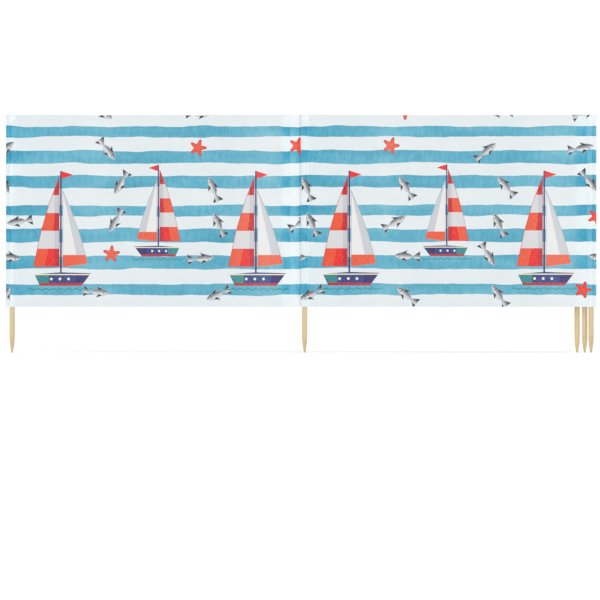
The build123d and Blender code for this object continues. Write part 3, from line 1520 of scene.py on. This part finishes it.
@dataclass(frozen=True)
class Overlock:
    """The overlocked edge where the second bay is sewn on: one thread in a zigzag up the seam.

    half_width is the zigzag's reach to each side and pitch its height, as the machine lays it. clear is bare
    cloth at each end. rest is how far over the cloth its middle lies, and crossing how far more where it
    crosses the edge, in radii.
    """

    half_width: float = 0.0006
    pitch: float = 0.0026
    radius: float = 0.00018
    points_a_turn: int = 8
    clear: float = 0.001
    rest: float = 0.8
    crossing: float = 0.9

    def build(self, sheet: Sheet, s: float, finish: Material) -> Piece:
        """Make the thread as a tube of four sides.

        Its middle is at s plus half_width times the sine of 2 pi v / pitch, on the cloth's printed side, and
        it rises by the radius times the size of the cosine, where it crosses the edge.

        Args:
            sheet: the sheet that it is sewn on.
            s: where the seam is.
            finish: the thread's finish.

        Returns:
            The thread.
        """
        top = sheet.layout.height - self.clear
        count = int(top / self.pitch * self.points_a_turn)
        v = np.linspace(self.clear, top, count)
        turn = v * math.tau / self.pitch
        place, out = sheet.on_grid(s + self.half_width * np.sin(turn), v)
        over = HALF_CLOTH + self.radius * (self.rest + self.crossing * np.abs(np.cos(turn)))
        middle = place + out * over[:, None]
        run = unit(np.gradient(middle, axis=0))
        side = unit(np.cross(run, out))
        corner = np.arange(4)
        angle = corner * math.pi / 2
        across, up = (self.radius * wave(angle)[None, :, None] for wave in (np.cos, np.sin))
        points = middle[:, None] + across * side[:, None] + up * np.cross(side, run)[:, None]
        first, after = (np.arange(count - 1) * 4)[:, None], (corner + 1) % 4
        walls = np.stack([first + corner, first + after, first + 4 + after, first + 4 + corner], -1)
        ends = np.stack([corner[::-1], corner + 4 * (count - 1)])
        piece = add_piece("seam_overlock", points, np.concatenate([walls.reshape(-1, 4), ends]), [finish])
        return sheet.take(piece)


@dataclass
class SleeveBack:
    """The back wall of a sleeve: a strip of cloth over the back of a pole, stitched to the sheet each side.

    cut_from is how far from the middle of a boat the strip was cut out of the print. round_share is the way
    round the back of the pole over the straight way across.
    """

    number: int
    layout: Layout
    spot: SleeveSpot
    body: str
    cut_from: float = 0.15
    round_share: float = 1.25
    slack: float = 0.012
    gather_pitch: float = 0.0048

    def place(self, s: np.ndarray, v: np.ndarray) -> tuple[np.ndarray, np.ndarray]:
        """Middle surface: the sleeve's width behind the pole's middle plane, s counted from its middle.

        Args:
            s: distances along the cloth.
            v: heights.

        Returns:
            Places and directions to the front.
        """
        x, y = self.layout.poles[self.number]
        width = self.spot.width(s)
        slack = 1 + self.slack * np.sin(v * 27 + self.number)
        tube = np.maximum(width * self.layout.closing(v) * slack, HALF_CLOTH)
        back = tube + self.layout.gather(s, v, width, self.gather_pitch) + HALF_CLOTH
        place = np.stack([x + s, y + back, self.layout.bottom + v], -1)
        return place, np.broadcast_to(np.array([0.0, -1.0, 0.0]), place.shape)

    def build(self, finish: Material, stitch: Stitch, thread: Material) -> Piece:
        """Make the strip and its stitches.

        Args:
            finish: the strip's finish.
            stitch: the stitch.
            thread: the thread's finish.

        Returns:
            The strip.
        """
        top, upper = self.layout.height, self.layout.upper_rows
        left, right = -self.spot.left, self.spot.right
        s = spread(
            (left - self.spot.left_margin, left, 0.002),
            (left, right, 0.0013),
            (right, right + self.spot.right_margin, 0.002),
        )
        v = spread((0, HEM - 0.001, 0.006), (HEM - 0.001, HEM, 0.001), (HEM, upper[0], 0.0165), upper)
        s_grid, v_grid = np.meshgrid(s, v)
        middle, outward = self.place(s_grid, v_grid)
        inner = np.full(s_grid.shape, HALF_CLOTH * 0.95)
        outer = HALF_CLOTH * (1 + 0.9 * smooth(v_grid, HEM, HEM - 0.001))
        u = s + (self.number - 0.5) * BeachPrint.boat_pitch + self.cut_from
        name = f"sleeve_{self.number}"
        strip = shell(f"{name}_back", middle, outward, (inner, outer), (u[:-1], u[1:]), v, [finish, finish])
        keep(strip, "dye_and_painted_shade", np.zeros(s_grid.shape))
        keep(strip, "run", s_grid + u[0] - s[0])
        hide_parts(name, f"{name}_end")
        rows = [stitch.row(self.place, (x, ROW_END), (x, top - ROW_END), -HALF_CLOTH) for x in (left, right)]
        for height, halves in ((HEM_ROW, 1.9), *((top - under, 1.0) for under in CLOSING_ROWS)):
            rows.append(stitch.row(self.place, (left, height), (right, height), -HALF_CLOTH * halves))
        sewn = stitch.piece(f"{name}_back_stitching", rows, thread)
        for piece in (strip, sewn):
            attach(piece, self.body)
        flat = (float(s[-1] - s[0]) * self.round_share, top + HEM)
        return strip


@dataclass(frozen=True)
class Half:
    """A folded half of a bay: its name, the turn that it starts with, the body before, its pole and its seed.

    shade is how deep the dye looks in the turn, and twice it how far the turn is brightened; as at the open
    sheet's right end, these are partly painted shade and painted light.
    """

    name: str
    turn: str
    before: str
    pole: int | None
    seed: int
    shade: float = 0.0


@dataclass
class Cloth:
    """All the cloth: one open sheet, four folded ones, and the backs of five sleeves.

    turn_lean slants the line noted as each folded sheet's hinge towards its own layer. second_print is how
    far up the print the lower edge lies from the second bay on. crease is where the cloth doubled before the
    seam ends. open_tones_and_painted_light are x, depth of dye and how far cloth behind brightens it along
    the open sheet; the depth is partly painted shade, the seam's shadow line and the roll-off towards it, and
    the brightening partly painted light on the shaded right walls of the sleeves.
    """

    layout: Layout
    beach_print: BeachPrint = BeachPrint()
    stitch: Stitch = Stitch()
    turn_lean: float = 0.12
    second_print: float = -0.0017
    crease: float = -0.0575
    coarse: float = 0.0105
    fine: float = 0.0014
    fine_margin: float = 0.0025
    halves: tuple[Half, ...] = (
        Half("bay_3_front", "bay_3_turn", "bay_2", None, 21, 0.6),
        Half("bay_3_back", "bay_3_fold", "bay_3_front", 4, 31),
        Half("bay_4_front", "bay_4_turn", "bay_3_back", None, 41),
        Half("bay_4_back", "bay_4_fold", "bay_4_front", 5, 51),
    )
    rests: tuple = (("pole_1", "pole_2", "pole_3"), ("pole_3",), ("pole_4",), ("pole_4",), ("pole_5",))
    sleeve_bodies: tuple = ("bay_1", "bay_2", "bay_2", "bay_3_back", "bay_4_back")
    # x, depth of dye and brightening: partly painted shade at the seam, partly painted light on the sleeves'
    # right walls
    open_tones_and_painted_light: tuple = (
        (-1.2442, 1.5, 0.8),
        (-1.2220, 1.4, 1.6),
        (-1.2170, 0.6, 1.2),
        (-1.2120, 0.6, 1.0),
        (-1.2095, 0.6, 1.5),
        (-1.2035, 0.6, 1.5),
        (-1.2005, 0.6, 0.3),
        (-1.1400, 0.45, 0.2),
        (-1.0300, 0.15, 0.0),
        (-0.9600, 0.0, 0.0),
        (-0.8900, -0.35, 0.0),
        (-0.8400, -0.25, 0.0),
        (-0.7800, 0.0, 0.0),
        (-0.3300, 0.15, 0.0),
        (-0.2700, -0.1, 0.0),
        (-0.1600, -0.55, 0.0),
        (-0.1000, -0.3, 0.0),
        (-0.0850, 0.9, 1.2),
        (-0.0600, 0.9, 1.2),
        (-0.0570, 0.1, 1.1),
        (-0.0400, 0.1, 1.1),
        (-0.0310, 0.4, 1.1),
        (-0.0205, 0.9, 0.8),
        (-0.0185, 2.0, 0.8),
        (-0.0155, 2.0, 0.8),
        (-0.0140, 0.8, 1.0),
        (-0.0090, 0.8, 1.0),
        (-0.0060, 1.3, 1.0),
        (0.0060, 1.3, 1.2),
        (0.0090, 1.3, 2.2),
        (0.0140, 1.0, 2.2),
        (0.0165, 0.7, 0.6),
        (0.0200, 0.7, 0.3),
        (0.0800, 0.45, 0.2),
        (0.1900, 0.15, 0.0),
        (0.2700, 0.0, 0.0),
        (0.3400, -0.35, 0.0),
        (0.4300, 0.0, 0.0),
        (0.9200, 0.15, 0.0),
        (1.0400, -0.4, 0.0),
        (1.1200, -0.35, 0.0),
        (1.1480, 0.9, 1.1),
        (1.1770, 0.9, 1.1),
        (1.1785, 0.1, 1.0),
        (1.1945, 0.1, 1.0),
        (1.1980, 1.2, 1.4),
        (1.2081, 1.2, 1.8),
    )

    def spot(self, number: int, s: float) -> SleeveSpot:
        """The sleeve of one pole.

        Args:
            number: the pole's number.
            s: where the pole's middle is on its sheet.

        Returns:
            The sleeve.
        """
        left_margin = SELVEDGE if number == 1 else SEAM_MARGIN
        right_margin = SELVEDGE if number == 5 else SEAM_MARGIN
        right = TIGHT_STITCH_LINE if number in (3, 4) else STITCH_LINE
        return SleeveSpot(s, STITCH_LINE, right, left_margin, right_margin)

    def open_sheet(self) -> Sheet:
        """The two open bays, from the first selvedge to the first turn.

        Returns:
            The sheet.
        """
        (x1, y1), (x2, _), (x3, _) = (self.layout.poles[number] for number in (1, 2, 3))
        x0 = x1 - STITCH_LINE - SELVEDGE
        x_end = self.layout.turns["bay_3_turn"][0] - LEAD
        seam_x = x2 - STITCH_LINE - SEAM_MARGIN
        swing_x = seam_x - SEAM_EASE
        wide = STITCH_LINE + self.fine_margin
        end, crease, seam, swing = (x - x0 for x in (x_end, self.crease, seam_x, swing_x))
        columns = spread(
            (0.0, end, self.coarse),
            (0.0, x1 + wide - x0, self.fine),
            (crease - 0.004, crease + 0.004, 0.001),
            (crease, swing, 0.0036),
            (swing, seam, 0.0013333),
            (seam, x2 + wide - x0, self.fine),
            (x3 - wide - x0, end, self.fine),
        )
        rows = (
            x1 - STITCH_LINE - SELVEDGE_ROW,
            x1 - STITCH_LINE,
            x1 + STITCH_LINE,
            self.crease,
            x2 - STITCH_LINE,
            x2 + STITCH_LINE,
            x3 - STITCH_LINE,
            x3 + TIGHT_STITCH_LINE,
        )
        return Sheet(
            name="open_cloth",
            layout=self.layout,
            line=PlanLine((x0, y1), 0.0, [(x_end - x0, 0.0)]),
            columns=columns,
            sleeves=[self.spot(number, x - x0) for number, x in ((1, x1), (2, x2), (3, x3))],
            panels=[(0.0, x0 - x1, 0.0), (seam, 2 * BeachPrint.boat_pitch, self.second_print)],
            ripples=[Ripples(3, 0.0013, 0.10, 0.34, 0.5), Ripples(11, 0.0004, 0.035, 0.08, 0.9)],
            calm=[(end, end - 0.02), (0.0, 0.02)],
            # depth of dye and brightening along the open sheet, partly painted shade and painted light
            tones_and_painted_light=[(x - x0, depth, backing) for x, depth, backing in self.open_tones_and_painted_light],
            bodies=("bay_2", "bay_1"),
            hinge=((seam_x, 0.0), (swing_x, 0.0)),
            replaced=["bay_1_cloth", "bay_2_cloth", "bay_1_bend"],
            hem_spans={
                "bay_1": Span(x1 + STITCH_LINE + SEAM_MARGIN - x0, swing, "bay_1"),
                "bay_2": Span(
                    x2 + STITCH_LINE + SEAM_MARGIN - x0,
                    x3 - STITCH_LINE - SEAM_MARGIN - x0,
                    "bay_2",
                ),
            },
            stitched=[x - x0 for x in rows],
            held="stretched",
            pocket=(crease, swing),
            billow=0.0035,
        )

    def folded_sheet(self, half: Half, start: Pair, x_end: float, before: Sheet) -> Sheet:
        """One folded half of a bay, from a turn to the next turn, or to the last selvedge.

        Args:
            half: which half.
            start: where the sheet starts.
            x_end: where it ends.
            before: the sheet that it runs on from.

        Returns:
            The sheet.
        """
        line_x, line_y, angle = self.layout.turns[half.turn]
        radius = self.layout.step / 2
        arc = math.pi * radius
        after = LEAD + arc
        heading, lean = (0.0, -self.turn_lean) if angle > 0 else (math.pi, self.turn_lean)
        line = PlanLine(start, heading, [(LEAD, 0.0), (arc, angle), (abs(x_end - line_x), 0.0)])
        end = line.length
        if half.pole is None:
            spots, fine, stitched, hem_end = [], [], [], end
            calm = [(after + 0.075, after + 0.16), (end, end - 0.04)]
        else:
            middle = after + self.layout.poles[half.pole][0] - line_x
            spots = [self.spot(half.pole, middle)]
            fine = [(middle - STITCH_LINE - self.fine_margin, end, self.fine)]
            stitched = [middle - STITCH_LINE, middle + spots[0].right]
            if half.pole == 5:
                stitched.append(middle + STITCH_LINE + SELVEDGE_ROW)
            hem_end = middle - STITCH_LINE - SEAM_MARGIN
            calm = [(0.0, after + 0.03), (end, end - 0.05), (hem_end - 0.01, hem_end - 0.09)]
        return Sheet(
            name=f"{half.name}_sheet",
            layout=self.layout,
            line=line,
            columns=spread((0.0, after, 0.0012), (after, end, self.coarse), *fine),
            sleeves=spots,
            panels=[(0.0, before.last_u, self.second_print)],
            run_from=before.run_to,
            ripples=[
                Ripples(half.seed, 0.0008, 0.10, 0.30, 0.5),
                Ripples(half.seed + 1, 0.0002, 0.04, 0.08, 0.9),
            ],
            calm=calm,
            # depth of dye and brightening in the turn, partly painted shade and painted light
            tones_and_painted_light=[*((s, half.shade, 2 * half.shade) for s in (0.0, after)), (after + 0.01, 0.0, 0.0)],
            bodies=(half.before, half.name),
            hinge=((line_x - lean * radius, line_y - radius), (line_x + lean * radius, line_y + radius)),
            replaced=[f"{half.name}_cloth", half.turn],
            hem_spans={half.name: Span(0.0, hem_end)},
            stitched=stitched,
            held="folded",
            sag=0.0008,
        )

    def sheets(self) -> list[Sheet]:
        """The open sheet and the four folded halves, in order along the cloth.

        Returns:
            The sheets.
        """
        turns, poles = self.layout.turns, self.layout.poles
        ends = (
            turns["bay_3_turn"][0] - LEAD,
            turns["bay_3_fold"][0] + LEAD,
            poles[4][0] + TIGHT_STITCH_LINE + SEAM_MARGIN,
            turns["bay_4_fold"][0] + LEAD,
            poles[5][0] + STITCH_LINE + SELVEDGE,
        )
        made = [self.open_sheet()]
        for half, x, x_end in zip(self.halves, ends, ends[1:]):
            start = (x, turns[half.turn][1] - self.layout.step / 2)
            made.append(self.folded_sheet(half, start, x_end, made[-1]))
        return made

    def build(self) -> None:
        """Make every sheet, hem, sleeve back and stitch, and log each sheet and sleeve back."""
        pattern = self.beach_print.group()
        printed = ClothFinish("printed cloth", 1.0).material(pattern)
        reverse = ClothFinish("cloth reverse", 0.5).material(pattern)
        hem = ClothFinish("hem cloth").material()
        thread = ThreadFinish().material()
        # the overlock is a real thread; its dark colour is partly painted shade, drawing the seam's shadow
        # line
        edging_and_painted_shadow = ThreadFinish("overlock thread", srgb(118, 110, 104), srgb(160, 150, 142)).material()
        for sheet, rests_on in zip(self.sheets(), self.rests):
            piece = sheet.build(printed, reverse)
            for panel in sheet.hem_spans:
                for edge in Edge:
                    sheet.hem(panel, edge, hem)
            sheet.stitches(self.stitch, thread)
            if sheet.pocket is not None:
                Overlock().build(sheet, sheet.panels[1][0], edging_and_painted_shadow)
            sheet.declare(piece, rests_on)
            log.info("%s: %.3f m long, %d faces", piece.name, sheet.line.length, len(piece.data.polygons))
        for number, body in enumerate(self.sleeve_bodies, 1):
            back = SleeveBack(number, self.layout, self.spot(number, 0.0), body)
            strip = back.build(printed, self.stitch, thread)
            log.info("%s: %d faces", strip.name, len(strip.data.polygons))


@dataclass
class Poles:
    """The five turned dowels, which are CAD nodes with a wood of their own each."""

    layout: Layout
    piths: tuple = ((0.021, 0.012), (-0.017, 0.020), (0.026, -0.004), (-0.012, 0.024), (0.015, 0.019))
    leans: tuple = (0.004, -0.006, 0.005, 0.007, -0.004)
    # value scale of each pole's wood: painted light on poles 4 and 5, which stand in shade under the folded
    # cloth
    painted_light_lift: tuple = (1.0, 1.0, 1.0, 1.06, 1.16)

    def dress(self, nodes: dict[str, Piece]) -> None:
        """Give each pole its finish.

        Args:
            nodes: the CAD nodes by name.
        """
        grain = zip(self.layout.poles.items(), self.piths, self.leans, self.painted_light_lift)
        for (number, (x, y)), *own in grain:
            node = nodes[f"pole_{number}"]
            wood = PoleWood(number, x, y, *own).material()
            if not node.material_slots:
                node.data.materials.append(wood)
            for slot in node.material_slots:
                slot.material = wood
            log.info("%s dressed", node.name)


@dataclass
class Studio:
    """Pale floor, soft light and a level camera square to the cloth.

    Each of lamps is a name, where it stands seen from above, in degrees from straight before the cloth to the
    right, how high it stands and how wide it looks, in degrees, and its strength. The world shines at
    surround, and backdrop more where the camera looks at it.
    """

    camera_x: float = -0.0192
    camera_z: float = 0.2188
    distance: float = 20.0
    view_width: float = 2.5
    sensor: float = 36.0
    floor_size: float = 90.0
    floor_dark: Colour = srgb(253, 253, 253)
    floor_pale: Colour = srgb(254, 254, 254)
    surround: float = 0.456
    backdrop: float = 0.564
    lamps: tuple = (
        ("key", -18.0, 32.0, 50.0, 0.55),
        ("overhead", 20.0, 80.0, 60.0, 1.46),
        ("rear", 165.0, 35.0, 60.0, 0.51),
    )

    def stand(self, name: str, data: bpy.types.ID, place: Sequence[float], turn: Sequence[float]) -> Piece:
        """Put a camera or a lamp into the scene.

        Args:
            name: its name.
            data: the camera or the lamp.
            place: where it stands.
            turn: how it is turned.

        Returns:
            The object.
        """
        holder = bpy.data.objects.new(name, data)
        holder.location, holder.rotation_euler = place, turn
        bpy.context.scene.collection.objects.link(holder)
        return holder

    def camera(self) -> None:
        """Long lens whose picture is view_width wide at the cloth: the lens is sensor x distance / width."""
        data = bpy.data.cameras.new("camera")
        data.lens = self.sensor * self.distance / self.view_width
        data.clip_end = 200.0
        place = (self.camera_x, -self.distance, self.camera_z)
        bpy.context.scene.camera = self.stand("camera", data, place, (math.pi / 2, 0.0, 0.0))

    def floor(self) -> None:
        """Plain pale floor."""
        half = self.floor_size / 2
        points = np.array([(-half, -half, 0), (half, -half, 0), (half, half, 0), (-half, half, 0)], float)
        surface = Surface("pale floor")
        colour = surface.here().noise(0.8).ramp([(0.3, self.floor_dark), (0.7, self.floor_pale)])
        finish = surface.finish(base_color=colour, roughness=0.9, specular_ior_level=0.1)
        add_piece("floor", points, np.array([[0, 1, 2, 3]]), [finish])

    def light(self) -> None:
        """Soft even light from far off, and the white all round."""
        for name, azimuth, height, width, strength in self.lamps:
            data = bpy.data.lights.new(name, "SUN")
            data.angle, data.energy = math.radians(width), strength
            self.stand(name, data, (0.0, -3.0, 3.0), (math.radians(90 - height), 0.0, math.radians(azimuth)))
        world = bpy.data.worlds.new("white studio")
        world.use_nodes = True
        background = world.node_tree.nodes["Background"].inputs
        feed(background["Strength"], Wire(world.node_tree).node("LightPath") * self.backdrop + self.surround)
        feed(background["Color"], (1.0, 1.0, 1.0, 1.0))
        bpy.context.scene.world = world

    def build(self) -> None:
        """Make the floor, the lights, the surrounding white and the camera."""
        self.floor()
        self.light()
        self.camera()
        bpy.context.scene.view_settings.view_transform = "Standard"
        log.info("studio ready")


def main() -> None:
    """Build the windbreak round the CAD model."""
    logging.basicConfig(level=logging.INFO, format="%(name)s: %(message)s")
    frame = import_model()
    layout = Layout.read()
    Studio().build()
    Poles(layout).dress(frame["nodes"])
    Cloth(layout).build()


if __name__ == "__main__":
    main()
